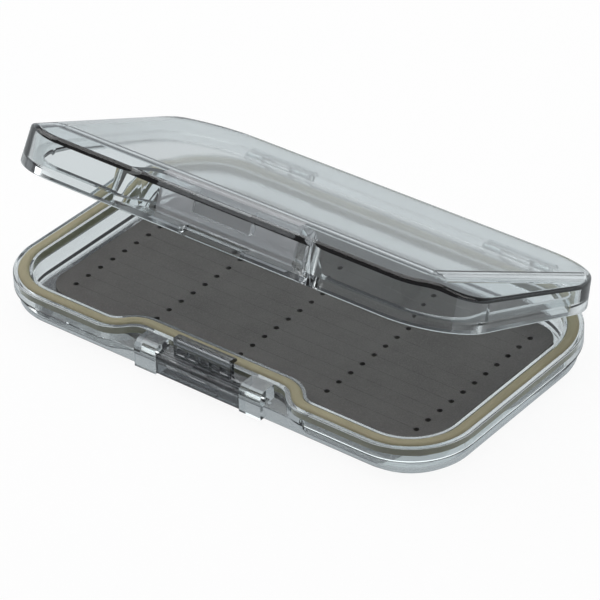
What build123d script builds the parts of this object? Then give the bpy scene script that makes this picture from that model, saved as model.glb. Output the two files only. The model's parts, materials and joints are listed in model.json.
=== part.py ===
from build123d import *
import math
import os

# Pocket fly box: a clear tray and a clear lid on two rear hinges, a seal in the
# tray's rim, a sheet of slit foam, and a sprung push latch in a front recess.
# Millimetres. X runs along the box, Y from the latch to the hinges, Z up.
# The origin is the centre of the underside. The lid is stored partly open.

# ---- driving dimensions -------------------------------------------------
BOX_LENGTH = 152.4
BOX_DEPTH = 89.0
FRONT_CORNER_RADIUS = 19.8
BACK_CORNER_RADIUS = 25.0
EDGE_ROUND = 0.4
ARM_OVERLAP = 0.4

# tray
BASE_HEIGHT = 10.7
FLANGE_HEIGHT = 4.3
SKIRT_INSET = 1.3
FOOT_INSET = 4.2
FOOT_HEIGHT = 2.4
FLOOR_THICKNESS = 1.5
RIM_WIDTH = 5.5
FLOOR_FILLET = 0.9
FOOT_ROUND = 0.6
SKIRT_ROUND = 1.2

# the rim's step inwards round the latch
RECESS_DEPTH = 6.0
RECESS_HALF_WIDTH = 23.0
BEND_ANGLE = 52.0
OUTER_BEND_RADIUS = 10.4

# rim seal
SEAL_INSET = 2.98
SEAL_WIDTH = 3.2
SEAL_HEIGHT = 3.1
SEAL_PROUD = 0.5
SEAL_ROUND = 1.1
SEAL_SIDE_CLEARANCE = 0.05

# foam sheet
FOAM_SIDE_GAP = 5.3
FOAM_BACK_GAP = 4.9
FOAM_FRONT_GAP = 1.1
FOAM_THICKNESS = 2.8
FOAM_CORNER = 8.0
FILM_THICKNESS = 0.2
FILM_MARGIN = 1.0
HOLE_RADIUS = 0.8
HOLE_FLOOR = 0.4
HOLE_COLUMNS = 5
HOLE_ROWS = 11
COLUMN_MARGIN = 6.52
ROW_FRONT_MARGIN = 6.2
ROW_BACK_MARGIN = 7.3
SLIT_WIDTH = 0.05
SLIT_DEPTH = 1.6

# lid
LID_GAP = 0.55
LID_FRONT_HEIGHT = 11.6
LID_BROW_HEIGHT = 13.35
LID_BROW_INSET = 10.1
LID_BACK_HEIGHT = 7.9
LID_SIDE_HEIGHT = 9.3
LID_SIDE_SLOPE = 0.36
LID_SIDE_FALL = 0.026
LID_DRAFT = 1.4
LID_WALL = 2.5
LID_SKIN = 2.0
LID_FLANGE_HEIGHT = 2.8
LID_OPEN_ANGLE = 22.0
RECESS_ROOF = 1.8
SHOULDER_ROUND = 1.2
RIDGE_ROUND = 14.0

# hinges
HINGE_OFFSET = 2.4
HINGE_SPREAD = 42.0
KNUCKLE_RADIUS = 2.1
LID_KNUCKLE = 10.0
BASE_KNUCKLE = 6.0
KNUCKLE_GAP = 0.3
HINGE_PIN_RADIUS = 1.0
HINGE_PIN_SETBACK = 0.2
RUNNING_CLEARANCE = 0.05
FIXED_CLEARANCE = 0.02

# latch
BLOCK_WIDTH = 7.3
BLOCK_ROUND = 2.6
LEVER_HALF_WIDTH = 14.1
LEVER_SIDE_GAP = 0.3
LEVER_BACK_GAP = 0.4
LEVER_BOTTOM = 2.8
LEVER_FRONT_DROP = 2.0
LEVER_BACK_DROP = 1.2
LEVER_SKIN = 1.8
LEVER_ROUND = 0.5
POCKET_FLOOR = 1.8
PIVOT_BACK = 3.1
PIVOT_DROP = 3.9
HUB_RADIUS = 1.7
LATCH_PIN_RADIUS = 0.8
LATCH_PIN_SETBACK = 0.3
BLIND_WALL = 1.2
HOOK_HALF_WIDTH = 9.7
HOOK_THICKNESS = 1.6
HOOK_NOSE = 1.4
HOOK_NOSE_HEIGHT = 1.45
HOOK_ROUND = 0.35
CATCH_THICKNESS = 2.0
CATCH_DEPTH = 1.5
CATCH_CLEARANCE = 0.3
WINDOW_SIDE = 0.6
WINDOW_FRONT_WALL = 0.8
HOOD_DEPTH = 2.5
HOOD_CLEARANCE = 1.85
GRIP_SLOTS = 5
GRIP_SLOT_WIDTH = 2.7
GRIP_SLOT_PITCH = 3.7
GRIP_SLOT_DROP = 3.0
GRIP_SLOT_DEPTH = 0.8
THUMB_RIBS = 3
THUMB_RIB_HEIGHT = 0.6
THUMB_RIB_PROUD = 0.35
THUMB_RIB_PITCH = 1.5
THUMB_RIB_HALF_WIDTH = 7.0

# latch spring
SPRING_WIRE_RADIUS = 0.2
SPRING_COIL_RADIUS = 1.2
SPRING_PITCH = 0.9
SPRING_TURNS = 4
SPRING_SIDE_GAP = 0.6
SPRING_SLOT_RADIUS = 1.75
SPRING_SEAT_CLEARANCE = 0.05

# ---- derived places -----------------------------------------------------
FRONT = -BOX_DEPTH / 2
BACK = BOX_DEPTH / 2
SHELF_Z = BASE_HEIGHT - FLANGE_HEIGHT
RECESS_Y = FRONT + RECESS_DEPTH
FOAM_Z = FLOOR_THICKNESS + FILM_THICKNESS
FOAM_HALF = BOX_LENGTH / 2 - RIM_WIDTH - FOAM_SIDE_GAP
FOAM_FRONT = RECESS_Y + RIM_WIDTH + FOAM_FRONT_GAP
FOAM_BACK = BACK - RIM_WIDTH - FOAM_BACK_GAP
LID_Z = BASE_HEIGHT + LID_GAP
HINGE_Y = BACK + HINGE_OFFSET
HINGE_Z = BASE_HEIGHT + LID_GAP / 2
PIVOT_Y = FRONT + PIVOT_BACK
PIVOT_HEIGHT = BASE_HEIGHT - PIVOT_DROP
LEVER_FRONT_TOP = BASE_HEIGHT - LEVER_FRONT_DROP
LEVER_BACK_TOP = BASE_HEIGHT - LEVER_BACK_DROP
BLOCK_START = LEVER_HALF_WIDTH + LEVER_SIDE_GAP
BLOCK_END = BLOCK_START + BLOCK_WIDTH
CATCH_FRONT = RECESS_Y - CATCH_DEPTH
CATCH_TOP = LID_Z + CATCH_THICKNESS
HOOK_BACK = CATCH_FRONT - CATCH_CLEARANCE
HOOK_TOP = CATCH_TOP + CATCH_CLEARANCE + HOOK_NOSE_HEIGHT
GRIP_SLOT_TOP = HOOK_TOP - GRIP_SLOT_DROP
HINGE_AXIS = Axis((0, HINGE_Y, HINGE_Z), (-1, 0, 0))


def plate(inset, blunting=0):
    """Plan of the box a given distance in from its edge. Blunting rounds the corners more."""
    length = BOX_LENGTH - 2 * inset
    depth = BOX_DEPTH - 2 * inset
    front_corner = FRONT_CORNER_RADIUS + blunting - inset
    back_corner = BACK_CORNER_RADIUS + blunting - inset
    outline = Rectangle(length, depth)
    outline = fillet(outline.vertices().sort_by(Axis.Y)[:2], front_corner)
    return fillet(outline.vertices().sort_by(Axis.Y)[-2:], back_corner)


def stepped_plate(inset):
    """The same plan, stepping inwards at the front in two tangent bends round the latch."""
    inner_radius = bend_total() - OUTER_BEND_RADIUS + inset
    outer_radius = OUTER_BEND_RADIUS - inset
    front_corner = FRONT_CORNER_RADIUS - inset
    back_corner = BACK_CORNER_RADIUS - inset
    side = BOX_LENGTH / 2 - inset
    front = FRONT + inset
    back = BACK - inset
    recessed = Line((0, front + RECESS_DEPTH), (RECESS_HALF_WIDTH, front + RECESS_DEPTH))
    turn_out = JernArc(recessed @ 1, recessed % 1, inner_radius, -BEND_ANGLE)
    turn_along = JernArc(turn_out @ 1, turn_out % 1, outer_radius, BEND_ANGLE)
    front_run = Line(turn_along @ 1, (side - front_corner, front))
    front_turn = JernArc(front_run @ 1, (1, 0), front_corner, 90)
    side_run = Line(front_turn @ 1, (side, back - back_corner))
    back_turn = JernArc(side_run @ 1, (0, 1), back_corner, 90)
    back_run = Line(back_turn @ 1, (0, back))
    half = Curve() + [recessed, turn_out, turn_along, front_run]
    half += [front_turn, side_run, back_turn, back_run]
    return make_face(half + mirror(half, Plane.YZ))


def bend_total():
    """Sum of the two bend radii that spans the recess's depth."""
    return RECESS_DEPTH / (1 - math.cos(math.radians(BEND_ANGLE)))


def slab(face, low, high):
    """A plan face extruded from one height to another."""
    return extrude(Pos(0, 0, low) * face, high - low)


def block(x_low, x_high, y_low, y_high, z_low, z_high):
    """A box given by its limits."""
    centre = Pos((x_low + x_high) / 2, (y_low + y_high) / 2, (z_low + z_high) / 2)
    return centre * Box(x_high - x_low, y_high - y_low, z_high - z_low)


def edges_at(shape, height):
    """The level edges of a shape at one height."""
    near = 0.01
    return shape.edges().filter_by_position(Axis.Z, height - near, height + near)


def shoulder_edges(shape, height):
    """The edges of a shape's side walls that lie wholly above one height."""
    sides = shape.faces().filter_by(lambda face: abs(face.normal_at().Z) < 0.5)
    return sides.edges().filter_by(lambda edge: edge.bounding_box().min.Z > height)


def inner_edges(shape):
    """The edges of a shape whose middles lie inside the box's plan."""
    across = shape.edges().filter_by_position(Axis.X, -BOX_LENGTH / 2, BOX_LENGTH / 2)
    return across.filter_by_position(Axis.Y, FRONT, BACK)


def rod(x_low, x_high, y, z, radius):
    """A cylinder along X given by its ends."""
    return Pos((x_low + x_high) / 2, y, z) * Rot(0, 90, 0) * Cylinder(radius, x_high - x_low)


def prism(points, half_width):
    """A (Y, Z) outline extruded symmetrically along X."""
    outline = make_face(Polyline([(0, y, z) for y, z in points], close=True))
    return extrude(outline, half_width, dir=(1, 0, 0), both=True)


def recess_plan():
    """The space in front of the stepped rim, in plan."""
    reach = RECESS_HALF_WIDTH + 2 * bend_total()
    front_band = Pos(0, FRONT) * Rectangle(2 * reach, 2 * RECESS_DEPTH + 1)
    return front_band - stepped_plate(0)


# ---- tray ---------------------------------------------------------------
def base_shell():
    """Tray: foot, skirt, stepped rim flange with a seal groove, latch blocks and knuckles."""
    foot = loft([plate(FOOT_INSET), Pos(0, 0, FOOT_HEIGHT) * plate(SKIRT_INSET)])
    tub = foot + slab(plate(SKIRT_INSET), FOOT_HEIGHT, SHELF_Z)
    tub = fillet(edges_at(tub, FOOT_HEIGHT), SKIRT_ROUND)
    tub = fillet(edges_at(tub, 0), FOOT_ROUND)
    flange = slab(stepped_plate(0), SHELF_Z, BASE_HEIGHT)
    flange = fillet(flange.edges().group_by(Axis.Z)[-1], EDGE_ROUND)
    cavity = slab(stepped_plate(RIM_WIDTH), FLOOR_THICKNESS, BASE_HEIGHT + 1)
    cavity = fillet(cavity.edges().group_by(Axis.Z)[0], FLOOR_FILLET)
    shell = tub + flange - cavity - seal_groove()
    shell += latch_blocks()
    shell -= latch_pocket()
    shell -= latch_pin_bore()
    for side in (-1, 1):
        shell += base_knuckles(side * HINGE_SPREAD)
    return shell


def seal_groove():
    """Groove in the rim that holds the seal."""
    half = SEAL_WIDTH / 2 + SEAL_SIDE_CLEARANCE
    ring = stepped_plate(SEAL_INSET - half) - stepped_plate(SEAL_INSET + half)
    return slab(ring, BASE_HEIGHT + SEAL_PROUD - SEAL_HEIGHT, BASE_HEIGHT + 1)


def latch_blocks():
    """Two clear blocks that carry the latch's pivot pin, rounded at the top front."""
    blocks = []
    for side in (-1, 1):
        ends = sorted((side * BLOCK_START, side * BLOCK_END))
        bearing = block(*ends, FRONT, RECESS_Y + SEAL_SIDE_CLEARANCE, FOOT_HEIGHT, BASE_HEIGHT)
        top_front = bearing.edges().filter_by(Axis.X).sort_by(Axis.Z)[-2:].sort_by(Axis.Y)[0]
        blocks.append(fillet(top_front, BLOCK_ROUND))
    return blocks


def latch_pocket():
    """Space in the tray's front wall in which the lever rocks."""
    return block(-BLOCK_START, BLOCK_START, FRONT - 1, RECESS_Y, POCKET_FLOOR, BASE_HEIGHT + 1)


def latch_pin_bore():
    """Bore through the right block, blind in the left one."""
    radius = LATCH_PIN_RADIUS + FIXED_CLEARANCE
    return rod(BLIND_WALL - BLOCK_END, BLOCK_END + 1, PIVOT_Y, PIVOT_HEIGHT, radius)


# ---- hinges -------------------------------------------------------------
def base_knuckles(centre_x):
    """Two tray knuckles of one hinge, each on a short arm from the flange."""
    knuckles = []
    offset = LID_KNUCKLE / 2 + KNUCKLE_GAP + BASE_KNUCKLE / 2
    for side in (-1, 1):
        middle = centre_x + side * offset
        low = middle - BASE_KNUCKLE / 2
        high = middle + BASE_KNUCKLE / 2
        barrel = rod(low, high, HINGE_Y, HINGE_Z, KNUCKLE_RADIUS)
        arm = block(low, high, BACK - ARM_OVERLAP, HINGE_Y, HINGE_Z - KNUCKLE_RADIUS, BASE_HEIGHT)
        bore = rod(low - 1, high + 1, HINGE_Y, HINGE_Z, HINGE_PIN_RADIUS + FIXED_CLEARANCE)
        knuckles.append(barrel + arm - bore)
    return knuckles


def lid_knuckle(centre_x):
    """The lid's knuckle of one hinge on its arm, with the lid closed."""
    low = centre_x - LID_KNUCKLE / 2
    high = centre_x + LID_KNUCKLE / 2
    barrel = rod(low, high, HINGE_Y, HINGE_Z, KNUCKLE_RADIUS)
    arm = block(low, high, BACK - ARM_OVERLAP, HINGE_Y, LID_Z, HINGE_Z + KNUCKLE_RADIUS)
    bore = rod(low - 1, high + 1, HINGE_Y, HINGE_Z, HINGE_PIN_RADIUS + RUNNING_CLEARANCE)
    return barrel + arm - bore


def hinge_pin(centre_x):
    """Steel pin of one hinge, set in a little from the outer knuckle faces."""
    half = LID_KNUCKLE / 2 + KNUCKLE_GAP + BASE_KNUCKLE - HINGE_PIN_SETBACK
    return rod(centre_x - half, centre_x + half, HINGE_Y, HINGE_Z, HINGE_PIN_RADIUS)


# ---- lid ----------------------------------------------------------------
def lid_closed():
    """Lid in its closed place: drafted walls under a wedge-shaped top, recess and knuckles."""
    tall = LID_Z + LID_BROW_HEIGHT + 1
    walls = loft([Pos(0, 0, LID_Z) * plate(0), Pos(0, 0, tall) * plate(LID_DRAFT)])
    shell = walls & under_top(0)
    shell = fillet(shoulder_edges(shell, LID_Z + 1), SHOULDER_ROUND)
    shell = fillet(edges_at(shell, LID_Z), EDGE_ROUND)
    shell -= lid_hollow()
    shell -= lid_recess()
    shell -= hook_window()
    shell += catch_hood()
    for side in (-1, 1):
        shell += lid_knuckle(side * HINGE_SPREAD)
    return shell


def front_slope():
    """Rise of the lid's front slope for each millimetre back."""
    return (LID_BROW_HEIGHT - LID_FRONT_HEIGHT) / LID_BROW_INSET


def top_slope():
    """Fall of the lid's main top face for each millimetre back."""
    return (LID_BROW_HEIGHT - LID_BACK_HEIGHT) / (BOX_DEPTH - LID_BROW_INSET)


def under_top(skin):
    """Space below the lid's top faces, lowered by a skin, with softly rounded ridges."""
    low = LID_Z - 1
    front = LID_Z + LID_FRONT_HEIGHT - skin - front_slope()
    brow = LID_Z + LID_BROW_HEIGHT - skin
    back = LID_Z + LID_BACK_HEIGHT - skin - top_slope()
    wedge = [
        (FRONT - 1, low),
        (FRONT - 1, front),
        (FRONT + LID_BROW_INSET, brow),
        (BACK + 1, back),
        (BACK + 1, low),
    ]
    space = prism(wedge, BOX_LENGTH) & under_sides(skin)
    return fillet(inner_edges(space), RIDGE_ROUND)


def under_sides(skin):
    """Space below the lid's sloped side faces, which also fall a little towards the back."""
    half = BOX_LENGTH / 2 + 1
    eaves = LID_Z + LID_SIDE_HEIGHT - skin - LID_SIDE_SLOPE
    ridge = LID_Z + LID_BROW_HEIGHT + 1
    run = (ridge - eaves) / LID_SIDE_SLOPE
    gable = [
        (-half, LID_Z - 1),
        (-half, eaves),
        (run - half, ridge),
        (half - run, ridge),
        (half, eaves),
        (half, LID_Z - 1),
    ]
    outline = make_face(Polyline([(x, FRONT, z) for x, z in gable], close=True))
    return extrude(outline, 2 * BOX_DEPTH, dir=(0, 1, -LID_SIDE_FALL), both=True)


def lid_hollow():
    """Inside of the lid: a rim opening, and straight walls up to the top's skin."""
    opening = slab(stepped_plate(RIM_WIDTH), LID_Z - 1, LID_Z + LID_FLANGE_HEIGHT)
    room = slab(stepped_plate(LID_WALL), LID_Z + LID_FLANGE_HEIGHT, LID_Z + LID_BROW_HEIGHT)
    return opening + (room & under_top(LID_SKIN))


def lid_recess():
    """Space for the latch, between a floor with the catch and a roof that slopes with the top."""
    front = FRONT - 1
    back = RECESS_Y + 1
    eaves = LID_Z + LID_FRONT_HEIGHT - RECESS_ROOF
    outline = [
        (front, CATCH_TOP),
        (front, eaves - front_slope()),
        (back, eaves + (back - FRONT) * front_slope()),
        (back, CATCH_TOP),
    ]
    return prism(outline, BOX_LENGTH / 2) & slab(recess_plan(), LID_Z, LID_Z + LID_BROW_HEIGHT)


def hook_window():
    """Window in the recess's floor that the hook passes; its back edge is the catch."""
    half = HOOK_HALF_WIDTH + WINDOW_SIDE
    front = FRONT + WINDOW_FRONT_WALL
    return block(-half, half, front, CATCH_FRONT, LID_Z - 1, CATCH_TOP + 1)


def catch_hood():
    """Rib above the catch that guards the hook's top and stiffens the recess's roof."""
    half = HOOK_HALF_WIDTH
    low = HOOK_TOP + HOOD_CLEARANCE
    front = RECESS_Y - HOOD_DEPTH
    return block(-half, half, front, RECESS_Y + LID_WALL / 2, low, LID_Z + LID_FRONT_HEIGHT)


# ---- seal and foam ------------------------------------------------------
def rim_gasket():
    """Silicone seal, seated on the groove's floor and standing proud of the rim."""
    ring = stepped_plate(SEAL_INSET - SEAL_WIDTH / 2) - stepped_plate(SEAL_INSET + SEAL_WIDTH / 2)
    top = BASE_HEIGHT + SEAL_PROUD
    seal = slab(ring, top - SEAL_HEIGHT, top)
    return fillet(seal.edges().group_by(Axis.Z)[-1], SEAL_ROUND)


def foam_plan(margin):
    """Plan of the foam sheet, a given distance in from its edge."""
    length = 2 * (FOAM_HALF - margin)
    depth = FOAM_BACK - FOAM_FRONT - 2 * margin
    centre = Pos(0, (FOAM_FRONT + FOAM_BACK) / 2)
    return centre * RectangleRounded(length, depth, FOAM_CORNER - margin)


def base_foam():
    """Foam sheet with rows of slits that run from hole to hole."""
    top = FOAM_Z + FOAM_THICKNESS
    sheet = slab(foam_plan(0), FOAM_Z, top)
    slit_length = 2 * (FOAM_HALF - COLUMN_MARGIN)
    first_row = FOAM_FRONT + ROW_FRONT_MARGIN
    last_row = FOAM_BACK - ROW_BACK_MARGIN
    column_pitch = slit_length / (HOLE_COLUMNS - 1)
    row_pitch = (last_row - first_row) / (HOLE_ROWS - 1)
    middle = Pos(0, (first_row + last_row) / 2)
    grid = GridLocations(column_pitch, row_pitch, HOLE_COLUMNS, HOLE_ROWS)
    holes = middle * grid * Circle(HOLE_RADIUS)
    slits = middle * GridLocations(1, row_pitch, 1, HOLE_ROWS) * Rectangle(slit_length, SLIT_WIDTH)
    sheet -= slab(Sketch() + holes, FOAM_Z + HOLE_FLOOR, top + 1)
    return sheet - slab(Sketch() + slits, top - SLIT_DEPTH, top + 1)


def foam_adhesive_film():
    """Adhesive film between the foam and the tray's floor."""
    return slab(foam_plan(FILM_MARGIN), FLOOR_THICKNESS, FOAM_Z)


# ---- latch --------------------------------------------------------------
def latch_lever():
    """Rocker: push face, top plate, pivot hub, and the hook bar over the lid's catch."""
    back = RECESS_Y - LEVER_BACK_GAP
    face = [
        (FRONT, LEVER_BOTTOM),
        (FRONT, LEVER_FRONT_TOP),
        (back, LEVER_BACK_TOP),
        (back, LEVER_BACK_TOP - LEVER_SKIN),
        (FRONT + LEVER_SKIN, LEVER_FRONT_TOP - LEVER_SKIN),
        (FRONT + LEVER_SKIN, LEVER_BOTTOM),
    ]
    body = prism(face, LEVER_HALF_WIDTH)
    front_edges = body.edges().filter_by(Axis.X).sort_by(Axis.Y)[:2]
    body = fillet(front_edges, LEVER_ROUND)
    hub = rod(-LEVER_HALF_WIDTH, LEVER_HALF_WIDTH, PIVOT_Y, PIVOT_HEIGHT, HUB_RADIUS)
    lever = body + hub + hook_bar() + thumb_ribs()
    lever -= grip_slots()
    lever -= spring_slot()
    pin_radius = LATCH_PIN_RADIUS + RUNNING_CLEARANCE
    return lever - rod(-BLOCK_START, BLOCK_START, PIVOT_Y, PIVOT_HEIGHT, pin_radius)


def hook_bar():
    """Upright bar with a nose at its top that reaches back over the lid's catch."""
    nose_low = CATCH_TOP + CATCH_CLEARANCE
    nose_back = HOOK_BACK + HOOK_NOSE
    root = LEVER_FRONT_TOP - LEVER_SKIN / 2
    outline = [
        (HOOK_BACK - HOOK_THICKNESS, root),
        (HOOK_BACK - HOOK_THICKNESS, HOOK_TOP),
        (HOOK_BACK, HOOK_TOP),
        (nose_back, HOOK_TOP - HOOK_NOSE_HEIGHT / 2),
        (nose_back, nose_low),
        (HOOK_BACK, nose_low),
        (HOOK_BACK, root),
    ]
    bar = prism(outline, HOOK_HALF_WIDTH)
    return fillet(edges_at(bar, HOOK_TOP), HOOK_ROUND)


def grip_slots():
    """Row of blind slots in the hook bar's front face."""
    low = (LEVER_FRONT_TOP + LEVER_BACK_TOP) / 2 + LEVER_ROUND
    front = HOOK_BACK - HOOK_THICKNESS
    first = -(GRIP_SLOTS - 1) / 2 * GRIP_SLOT_PITCH
    half = GRIP_SLOT_WIDTH / 2
    back = front + GRIP_SLOT_DEPTH
    slots = []
    for index in range(GRIP_SLOTS):
        middle = first + index * GRIP_SLOT_PITCH
        slots.append(block(middle - half, middle + half, front - 1, back, low, GRIP_SLOT_TOP))
    return slots


def thumb_ribs():
    """Plain ribs along the push face."""
    middle = (LEVER_BOTTOM + LEVER_FRONT_TOP) / 2
    ends = (-THUMB_RIB_HALF_WIDTH, THUMB_RIB_HALF_WIDTH)
    reach = (FRONT - THUMB_RIB_PROUD, FRONT + LEVER_ROUND)
    ribs = []
    for index in range(THUMB_RIBS):
        low = middle + (index - (THUMB_RIBS - 1) / 2) * THUMB_RIB_PITCH - THUMB_RIB_HEIGHT / 2
        ribs.append(block(*ends, *reach, low, low + THUMB_RIB_HEIGHT))
    return ribs


def spring_half_length():
    """Half the length of the spring's coil along the pin, with its wire."""
    return SPRING_TURNS * SPRING_PITCH / 2 + SPRING_WIRE_RADIUS


def spring_slot():
    """Gap in the hub that leaves room for the spring's coil."""
    half = spring_half_length() + SPRING_SIDE_GAP
    return rod(-half, half, PIVOT_Y, PIVOT_HEIGHT, SPRING_SLOT_RADIUS)


def latch_pin():
    """Steel pivot pin of the latch."""
    left = BLIND_WALL - BLOCK_END + LATCH_PIN_SETBACK
    right = BLOCK_END - LATCH_PIN_SETBACK
    return rod(left, right, PIVOT_Y, PIVOT_HEIGHT, LATCH_PIN_RADIUS)


def latch_spring():
    """Torsion spring: a coil round the pin, one leg on the push face and one on the pocket wall."""
    length = SPRING_TURNS * SPRING_PITCH
    start = Pos(-length / 2, PIVOT_Y, PIVOT_HEIGHT) * Rot(0, 90, 0)
    coil_path = start * Helix(SPRING_PITCH, length, SPRING_COIL_RADIUS)
    section = Plane(coil_path @ 0, z_dir=coil_path % 0) * Circle(SPRING_WIRE_RADIUS)
    spring = sweep(section, coil_path, is_frenet=True)
    for end, sign in ((0, -1), (1, 1)):
        foot = coil_path @ end
        spring += leg(foot, sign * (coil_path % end))
    return spring


def leg(foot, direction):
    """A straight leg of the spring that stops short of the wall it bears on."""
    if direction.Y > 0:
        limit = RECESS_Y - SPRING_SEAT_CLEARANCE
    else:
        limit = FRONT + LEVER_SKIN + SPRING_SEAT_CLEARANCE
    reach = (limit - foot.Y) / direction.Y
    return extrude(Plane(foot, z_dir=direction) * Circle(SPRING_WIRE_RADIUS), reach)


# ---- write --------------------------------------------------------------
NODES = {
    "base_shell": base_shell(),
    "lid_shell": lid_closed().rotate(HINGE_AXIS, LID_OPEN_ANGLE),
    "rim_gasket": rim_gasket(),
    "base_foam": base_foam(),
    "foam_adhesive_film": foam_adhesive_film(),
    "hinge_pin_left": hinge_pin(-HINGE_SPREAD),
    "hinge_pin_right": hinge_pin(HINGE_SPREAD),
    "latch_lever": latch_lever(),
    "latch_pin": latch_pin(),
    "latch_spring": latch_spring(),
}

os.makedirs("parts", exist_ok=True)
for node, shape in NODES.items():
    export_step(shape, f"parts/{node}.step")
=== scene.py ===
# %% [markdown]
# # A clear pocket fly box, dressed for the camera
#
# The box is two clear mouldings on rear hinges, with a sheet of slit foam, a
# silicone seal and a smoke-tinted latch. Its solids come from CAD as a fixed
# frame in metres: X along the box, Y from the latch to the hinges, Z up.
# Each cell below is one step: first the stage, then one finish at a time.

# %% Empty the scene and load the frame
import json
import math

import bmesh
import bpy
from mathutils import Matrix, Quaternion, Vector

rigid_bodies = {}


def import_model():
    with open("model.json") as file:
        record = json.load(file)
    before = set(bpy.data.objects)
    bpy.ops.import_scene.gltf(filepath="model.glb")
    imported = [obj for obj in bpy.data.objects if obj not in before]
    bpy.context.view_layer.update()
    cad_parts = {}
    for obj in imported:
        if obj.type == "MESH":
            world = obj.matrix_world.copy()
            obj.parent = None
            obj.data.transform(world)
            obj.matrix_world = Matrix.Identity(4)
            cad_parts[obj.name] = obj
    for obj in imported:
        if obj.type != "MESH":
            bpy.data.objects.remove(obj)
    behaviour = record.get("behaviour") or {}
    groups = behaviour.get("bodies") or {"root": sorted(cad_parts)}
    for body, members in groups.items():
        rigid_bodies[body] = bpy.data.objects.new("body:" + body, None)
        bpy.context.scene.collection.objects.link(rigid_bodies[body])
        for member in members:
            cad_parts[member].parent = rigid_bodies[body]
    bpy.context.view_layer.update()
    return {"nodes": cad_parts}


for leftover in list(bpy.data.objects):
    bpy.data.objects.remove(leftover)
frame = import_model()
MM = 0.001
print("nodes:", sorted(frame["nodes"]))

# %% [markdown]
# ## Camera
#
# The photograph was taken from far away with a long lens, so the box hardly
# narrows towards the back. A camera is easiest to describe as a photographer
# would: the point it looks at, its compass direction, how high it stands, how
# far away, and how much it is rolled.

# %% Place the camera
LENS_MM = 200.95
SENSOR_MM = 36.0
LOOK_AT = Vector((-3.19, 4.76, 4.5)) * MM
CAMERA_SIDE = math.radians(38.42)
CAMERA_HEIGHT = math.radians(33.53)
CAMERA_DISTANCE = 928.5 * MM
CAMERA_ROLL = math.radians(-1.254)

back = Vector(
    (
        math.sin(CAMERA_SIDE) * math.cos(CAMERA_HEIGHT),
        -math.cos(CAMERA_SIDE) * math.cos(CAMERA_HEIGHT),
        math.sin(CAMERA_HEIGHT),
    )
)
camera_data = bpy.data.cameras.new("camera")
camera_data.lens = LENS_MM
camera_data.sensor_width = SENSOR_MM
camera_data.clip_start = 0.01
camera = bpy.data.objects.new("camera", camera_data)
bpy.context.collection.objects.link(camera)
camera.rotation_mode = "QUATERNION"
camera.rotation_quaternion = back.to_track_quat("Z", "Y") @ Quaternion((0, 0, 1), CAMERA_ROLL)
camera.location = LOOK_AT + back * CAMERA_DISTANCE
bpy.context.scene.camera = camera
print("camera at", [round(v, 4) for v in camera.location])

# %% [markdown]
# ## Shader maths
#
# Nodes are quick to wire by hand but slow to read in a script. A small class
# wraps an output socket, so that 1 - mask or noise * 0.2 adds its own Math
# node, and one method makes every other node.


# %% Wrap sockets and materials
class Wire:
    """One output of a shader node. Arithmetic on it adds Math nodes."""

    def __init__(self, recipe, socket):
        self.recipe = recipe
        self.socket = socket

    def maths(self, operation, first, second):
        return self.recipe.add("ShaderNodeMath", {"operation": operation}, {0: first, 1: second})

    def __add__(self, other):
        return self.maths("ADD", self, other)

    __radd__ = __add__

    def __sub__(self, other):
        return self.maths("SUBTRACT", self, other)

    def __rsub__(self, other):
        return self.maths("SUBTRACT", other, self)

    def __mul__(self, other):
        return self.maths("MULTIPLY", self, other)

    __rmul__ = __mul__


class Recipe:
    """The node tree of a material or world. add() makes any node and returns one of its outputs."""

    def __init__(self, owner):
        owner.use_nodes = True
        self.owner = owner
        self.tree = owner.node_tree
        self.tree.nodes.clear()

    def add(self, kind, settings=None, sockets=None, out=0):
        node = self.tree.nodes.new(kind)
        for name, value in (settings or {}).items():
            if name == "stops":
                self.set_stops(node.color_ramp, value)
            else:
                setattr(node, name, value)
        for key, value in (sockets or {}).items():
            if isinstance(value, Wire):
                self.tree.links.new(value.socket, node.inputs[key])
            else:
                node.inputs[key].default_value = value
        return Wire(self, node.outputs[out]) if node.outputs else node

    def set_stops(self, ramp, stops):
        while len(ramp.elements) < len(stops):
            ramp.elements.new(0.5)
        for element, (place, colour) in zip(ramp.elements, stops):
            element.position = place
            element.color = colour


def finish(name):
    """A new material with an empty recipe."""
    return Recipe(bpy.data.materials.new(name))


print("shader helpers ready")

# %% [markdown]
# ## Stage
#
# Clear plastic shows what surrounds it more than it shows itself. The product
# shot has a small white sweep, a softbox overhead and a dark room around them,
# and that dark room is what draws the dark lines along the edges of clear
# plastic. Rays that leave the plastic sideways therefore meet a dim world,
# while flat faces mirror a bright wall behind the box.

# %% Build the world
def room_light(recipe, along, rise, stops, strength):
    """A background that changes from the front of the room to its back and from floor to ceiling."""
    direction = recipe.add("ShaderNodeTexCoord", out="Generated")
    away = {0: direction, 1: FRONT_TO_BACK}
    up = {0: direction, 1: (0, 0, 1)}
    behind = recipe.add("ShaderNodeVectorMath", {"operation": "DOT_PRODUCT"}, away, out="Value")
    height = recipe.add("ShaderNodeVectorMath", {"operation": "DOT_PRODUCT"}, up, out="Value")
    grey = recipe.add("ShaderNodeValToRGB", {"stops": stops}, {0: behind * along + height * rise + 0.5})
    return recipe.add("ShaderNodeBackground", None, {"Color": grey, "Strength": strength})


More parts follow.
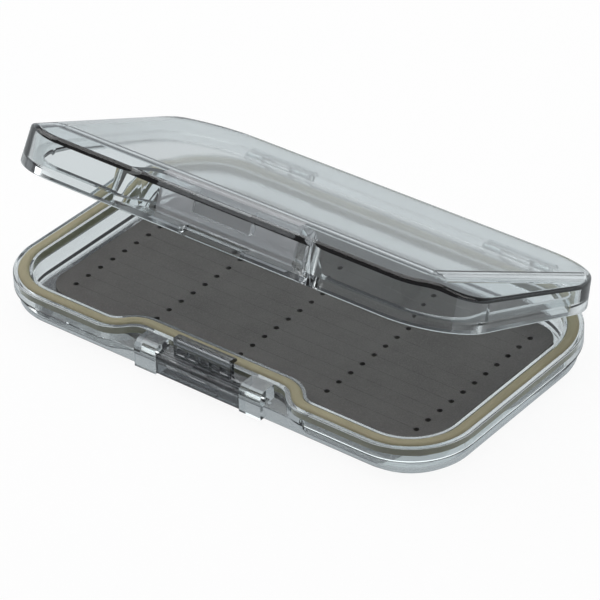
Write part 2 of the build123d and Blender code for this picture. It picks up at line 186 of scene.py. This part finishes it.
FRONT_TO_BACK = (-0.62, 0.78, 0.0)
ROOM = [(0.0, (0.02, 0.02, 0.022, 1)), (0.78, (0.06, 0.06, 0.065, 1)), (0.95, (0.7, 0.7, 0.71, 1))]
MIRRORED = [(0.6, (0.25, 0.25, 0.26, 1)), (0.76, (0.35, 0.36, 0.38, 1)), (0.95, (0.87, 0.95, 1.0, 1))]
world = bpy.data.worlds.new("studio")
bpy.context.scene.world = world
sky = Recipe(world)
room = room_light(sky, 0.1, 0.4, ROOM, 1.0)
mirrored = room_light(sky, 0.5, -0.4, MIRRORED, 1.0)
white = sky.add("ShaderNodeBackground", None, {"Color": (1, 1, 1, 1), "Strength": 1.0})
seen = sky.add("ShaderNodeLightPath", out="Is Camera Ray")
glossy = sky.add("ShaderNodeLightPath", out="Is Glossy Ray")
turned_back = sky.add("ShaderNodeLightPath", out="Is Reflection Ray")
around = sky.add("ShaderNodeMixShader", None, {0: glossy * turned_back, 1: room, 2: mirrored})
surround = sky.add("ShaderNodeMixShader", None, {0: seen, 1: around, 2: white})
sky.add("ShaderNodeOutputWorld", None, {"Surface": surround})
print("world nodes:", len(sky.tree.nodes))

# %% [markdown]
# The floor is a pale sweep. It keeps the box's soft shadow, but a share of
# plain white is mixed in for rays that the camera sends, so that it reads as
# the white ground of a product shot. Rays through the clear plastic meet
# mostly a painted glow: an emission, palest under the back of the box, that
# fades to painted dark a little way from it. In what the plastic mirrors the
# floor is a painted reflection, the other way round: an emission that is dim
# beside the box and white farther out.

# %% Lay the floor
# Painted light: seen through the plastic, the floor glows as an emission that is palest around this point
# and fades to painted dark farther out.
PAINTED_GLOW_CENTRE = (-0.05, 0.1, 0.0)
PAINTED_GLOW_STOPS = [
    (0.12, (0.68, 0.71, 0.72, 1)),
    (0.21, (0.36, 0.375, 0.38, 1)),
    (0.45, (0.05, 0.055, 0.06, 1)),
]
# Painted reflection: in what the plastic mirrors, the floor is an emission, dim beside the box and white
# farther out.
PAINTED_REFLECTION_STOPS = [(0.24, (0.37, 0.405, 0.425, 1)), (0.36, (0.87, 0.95, 1.0, 1))]
PAPER = (0.86, 0.86, 0.86, 1)
PLAIN_WHITE_SHARE = 0.92
PAINTED_GLOW_SHARE = 0.7
PAINTED_REFLECTION_SHARE = 0.8
FLOOR_HALF_WIDTH = 4.0

floor_mesh = bpy.data.meshes.new("floor")
square = bmesh.new()
bmesh.ops.create_grid(square, x_segments=1, y_segments=1, size=FLOOR_HALF_WIDTH)
square.to_mesh(floor_mesh)
square.free()
floor = bpy.data.objects.new("floor", floor_mesh)
bpy.context.collection.objects.link(floor)
sweep = finish("floor_sweep")
place = sweep.add("ShaderNodeTexCoord", out="Object")
from_glow = {0: place, 1: PAINTED_GLOW_CENTRE}
reach = sweep.add("ShaderNodeVectorMath", {"operation": "DISTANCE"}, from_glow, out="Value")
painted_glow = sweep.add("ShaderNodeValToRGB", {"stops": PAINTED_GLOW_STOPS}, {0: reach})
paper = sweep.add("ShaderNodeBsdfDiffuse", None, {"Color": PAPER})
seen = sweep.add("ShaderNodeLightPath", out="Is Camera Ray")
glossy = sweep.add("ShaderNodeLightPath", out="Is Glossy Ray")
turned_back = sweep.add("ShaderNodeLightPath", out="Is Reflection Ray")
through = sweep.add("ShaderNodeLightPath", out="Is Transmission Ray")
white = sweep.add("ShaderNodeEmission", None, {"Color": (1, 1, 1, 1), "Strength": 1.0})
# An emission painted on the floor for rays through the plastic: a pool of painted light with painted dark
# around it.
painted_glow_emission = sweep.add("ShaderNodeEmission", None, {"Color": painted_glow, "Strength": 1.0})
# The painted reflection: an emission for mirrored rays, ramped by distance from the same point.
painted_reflection = sweep.add("ShaderNodeValToRGB", {"stops": PAINTED_REFLECTION_STOPS}, {0: reach})
painted_reflection_emission = sweep.add("ShaderNodeEmission", None, {"Color": painted_reflection, "Strength": 1.0})
pale = sweep.add("ShaderNodeMixShader", None, {0: seen * PLAIN_WHITE_SHARE, 1: paper, 2: white})
painted_glow_mix = {0: through * PAINTED_GLOW_SHARE, 1: pale, 2: painted_glow_emission}
floor_with_painted_glow = sweep.add("ShaderNodeMixShader", None, painted_glow_mix)
painted_reflection_mix = {0: glossy * turned_back * PAINTED_REFLECTION_SHARE, 1: floor_with_painted_glow, 2: painted_reflection_emission}
ground = sweep.add("ShaderNodeMixShader", None, painted_reflection_mix)
sweep.add("ShaderNodeOutputMaterial", None, {"Surface": ground})
floor.data.materials.append(sweep.owner)
print("floor faces:", len(floor_mesh.polygons), "floor nodes:", len(sweep.tree.nodes))

# %% [markdown]
# Three large softboxes light the box from above and from both sides. Large
# lamps are weak for their size, so that the plastic mirrors them as a soft sheen
# and no spot burns out.


# %% Hang the lamps
def softbox(name, place, size, power, aim=(0, 0, 0)):
    """A square area lamp that faces a point."""
    lamp = bpy.data.lights.new(name, "AREA")
    lamp.size = size
    lamp.energy = power
    holder = bpy.data.objects.new(name, lamp)
    bpy.context.collection.objects.link(holder)
    holder.location = place
    holder.rotation_mode = "QUATERNION"
    holder.rotation_quaternion = (Vector(place) - Vector(aim)).to_track_quat("Z", "Y")
    return holder


softbox("softbox_over", (-0.15, 0.2, 0.9), 1.5, 9.5)
softbox("softbox_left", (-0.9, -0.25, 0.55), 0.8, 3.4)
softbox("softbox_right", (0.8, 0.35, 0.5), 0.6, 1.6)
bpy.context.scene.view_settings.view_transform = "Standard"

# %% [markdown]
# ## Clear polycarbonate
#
# The tray and the lid are injection-moulded polycarbonate, polished, a little
# wavy where the melt flowed, and faintly aqua where it is thick. Principled
# transmission gives the refraction. Rays from lamps pass through a tinted
# Transparent shader instead, so that the foam below the lid is lit.


# %% Mix the clear plastic
def clear_body(recipe, tint, roughness, transmission, wave):
    """One refracting surface of the plastic."""
    return recipe.add(
        "ShaderNodeBsdfPrincipled",
        None,
        {
            "Base Color": tint,
            "Roughness": roughness,
            "IOR": 1.585,
            "Transmission Weight": transmission,
            "Normal": wave,
        },
    )


def clear_plastic(name, tint, shade, roughness, satin=None):
    """A refracting plastic with fine handling marks, a slight flow wave and perhaps a satin patch."""
    recipe = finish(name)
    place = recipe.add("ShaderNodeTexCoord", out="Object")
    marks = recipe.add("ShaderNodeTexNoise", None, {"Vector": place, "Scale": 900.0, "Detail": 4.0})
    flow = recipe.add("ShaderNodeTexNoise", None, {"Vector": place, "Scale": 45.0, "Detail": 1.0})
    wave = recipe.add("ShaderNodeBump", None, {"Strength": 0.06, "Distance": 0.0004, "Height": flow})
    body = clear_body(recipe, tint, marks * 0.03 + roughness, 1.0, wave)
    if satin:
        frosted = clear_body(recipe, (0.8, 0.78, 0.8, 1), marks * 0.2 + 0.35, 0.35, wave)
        patch = satin(recipe, place)
        body = recipe.add("ShaderNodeMixShader", None, {0: patch * SATIN_SHARE, 1: body, 2: frosted})
    lit_through = recipe.add("ShaderNodeBsdfTransparent", None, {"Color": shade})
    lamp_ray = recipe.add("ShaderNodeLightPath", out="Is Shadow Ray")
    surface = recipe.add("ShaderNodeMixShader", None, {0: lamp_ray, 1: body, 2: lit_through})
    recipe.add("ShaderNodeOutputMaterial", None, {"Surface": surface})
    return recipe.owner


def band(recipe, place, direction, low, high):
    """1 where a place lies between two distances along a direction, in metres, and 0 elsewhere."""
    along = {0: place, 1: direction}
    distance = recipe.add("ShaderNodeVectorMath", {"operation": "DOT_PRODUCT"}, along, out="Value")
    above = recipe.add("ShaderNodeMath", {"operation": "GREATER_THAN"}, {0: distance, 1: low})
    below = recipe.add("ShaderNodeMath", {"operation": "LESS_THAN"}, {0: distance, 1: high})
    return above * below


def recess_wall(recipe, place):
    """The wall behind the latch in the lid, which stands open by LID_OPEN about the hinge."""
    depth = (0.0, math.cos(LID_OPEN), -math.sin(LID_OPEN))
    hinge = HINGE[0] * math.cos(LID_OPEN) - HINGE[1] * math.sin(LID_OPEN)
    across = band(recipe, place, (1, 0, 0), -SATIN_HALF_WIDTH, SATIN_HALF_WIDTH)
    return across * band(recipe, place, depth, hinge - SATIN_FRONT, hinge - SATIN_REAR)


LID_OPEN = math.radians(22.0)
HINGE = (46.9 * MM, 10.975 * MM)
SATIN_HALF_WIDTH = 23 * MM
SATIN_FRONT = 85.6 * MM
SATIN_REAR = 82.6 * MM
SATIN_SHARE = 0.35
AQUA = (0.91, 0.95, 0.96, 1)
AQUA_SHADE = (0.8, 0.85, 0.87, 1)
polycarbonate = clear_plastic("clear_polycarbonate", AQUA, AQUA_SHADE, 0.01)
lid_polycarbonate = clear_plastic("lid_polycarbonate", AQUA, AQUA_SHADE, 0.01, recess_wall)
smoke = clear_plastic("smoke_plastic", (0.36, 0.37, 0.385, 1), (0.48, 0.49, 0.51, 1), 0.06)
print("clear finishes:", polycarbonate.name, lid_polycarbonate.name, smoke.name)

# %% [markdown]
# ## Silicone seal
#
# The seal is an extruded olive-beige silicone: satin, slightly dusty, with the
# colour hardly varying along it.


# %% Mix the silicone
def silicone_finish():
    recipe = finish("olive_silicone")
    place = recipe.add("ShaderNodeTexCoord", out="Object")
    cloud = recipe.add("ShaderNodeTexNoise", None, {"Vector": place, "Scale": 60.0, "Detail": 3.0})
    dust = recipe.add("ShaderNodeTexNoise", None, {"Vector": place, "Scale": 1500.0, "Detail": 3.0})
    colour = recipe.add(
        "ShaderNodeValToRGB",
        {"stops": [(0.3, (0.28, 0.248, 0.158, 1)), (0.7, (0.35, 0.312, 0.202, 1))]},
        {0: cloud},
    )
    skin = recipe.add("ShaderNodeBump", None, {"Strength": 0.15, "Distance": 0.00005, "Height": dust})
    body = recipe.add(
        "ShaderNodeBsdfPrincipled",
        None,
        {"Base Color": colour, "Roughness": dust * 0.2 + 0.45, "Specular IOR Level": 0.3, "Normal": skin},
    )
    recipe.add("ShaderNodeOutputMaterial", None, {"Surface": body})
    return recipe.owner


silicone = silicone_finish()
print("seal finish:", silicone.name)

# %% [markdown]
# ## Slit foam
#
# Closed-cell foam, dark grey and matt. Its skin shows fine burst cells as dark
# specks, and the cut slits catch a little light on their lips.


# %% Mix the foam
def foam_finish():
    recipe = finish("closed_cell_foam")
    place = recipe.add("ShaderNodeTexCoord", out="Object")
    cells = recipe.add("ShaderNodeTexVoronoi", None, {"Vector": place, "Scale": 2600.0})
    cloud = recipe.add("ShaderNodeTexNoise", None, {"Vector": place, "Scale": 120.0, "Detail": 4.0})
    grain = cells * 0.5 + cloud * 0.6
    colour = recipe.add(
        "ShaderNodeValToRGB",
        {"stops": [(0.2, (0.08, 0.075, 0.072, 1)), (0.7, (0.123, 0.116, 0.111, 1))]},
        {0: grain},
    )
    skin = recipe.add("ShaderNodeBump", None, {"Strength": 0.4, "Distance": 0.0001, "Height": cells})
    body = recipe.add(
        "ShaderNodeBsdfPrincipled",
        None,
        {"Base Color": colour, "Roughness": 0.85, "Specular IOR Level": 0.25, "Normal": skin},
    )
    recipe.add("ShaderNodeOutputMaterial", None, {"Surface": body})
    return recipe.owner


foam = foam_finish()
print("foam finish:", foam.name)

# %% [markdown]
# ## Steel and film
#
# The pins and the spring are drawn stainless wire: bright, with fine lines
# along their length. The film under the foam is a milky adhesive.


# %% Mix the steel and the film
def steel_finish():
    recipe = finish("drawn_steel")
    place = recipe.add("ShaderNodeTexCoord", out="Object")
    drawn = recipe.add("ShaderNodeMapping", None, {"Vector": place, "Scale": (40.0, 4000.0, 4000.0)})
    lines = recipe.add("ShaderNodeTexNoise", None, {"Vector": drawn, "Scale": 1.0, "Detail": 2.0})
    body = recipe.add(
        "ShaderNodeBsdfPrincipled",
        None,
        {"Base Color": (0.62, 0.62, 0.61, 1), "Metallic": 1.0, "Roughness": lines * 0.25 + 0.15},
    )
    recipe.add("ShaderNodeOutputMaterial", None, {"Surface": body})
    return recipe.owner


def film_finish():
    recipe = finish("adhesive_film")
    place = recipe.add("ShaderNodeTexCoord", out="Object")
    bubbles = recipe.add("ShaderNodeTexNoise", None, {"Vector": place, "Scale": 300.0, "Detail": 3.0})
    colour = recipe.add(
        "ShaderNodeValToRGB",
        {"stops": [(0.35, (0.16, 0.16, 0.155, 1)), (0.7, (0.22, 0.22, 0.21, 1))]},
        {0: bubbles},
    )
    body = recipe.add("ShaderNodeBsdfPrincipled", None, {"Base Color": colour, "Roughness": 0.6})
    recipe.add("ShaderNodeOutputMaterial", None, {"Surface": body})
    return recipe.owner


steel = steel_finish()
film = film_finish()
print("hidden finishes:", steel.name, film.name)

# %% [markdown]
# ## Dressing
#
# Every piece of the real box is a node of the CAD model already, so nothing is
# modelled over it. Each node only gets its finish.

# %% Dress the CAD nodes
dress = {
    "base_shell": polycarbonate,
    "lid_shell": lid_polycarbonate,
    "rim_gasket": silicone,
    "base_foam": foam,
    "foam_adhesive_film": film,
    "hinge_pin_left": steel,
    "hinge_pin_right": steel,
    "latch_lever": smoke,
    "latch_pin": steel,
    "latch_spring": steel,
}
for node, material in dress.items():
    for slot in frame["nodes"][node].material_slots:
        slot.material = material
print("dressed", len(dress), "nodes")
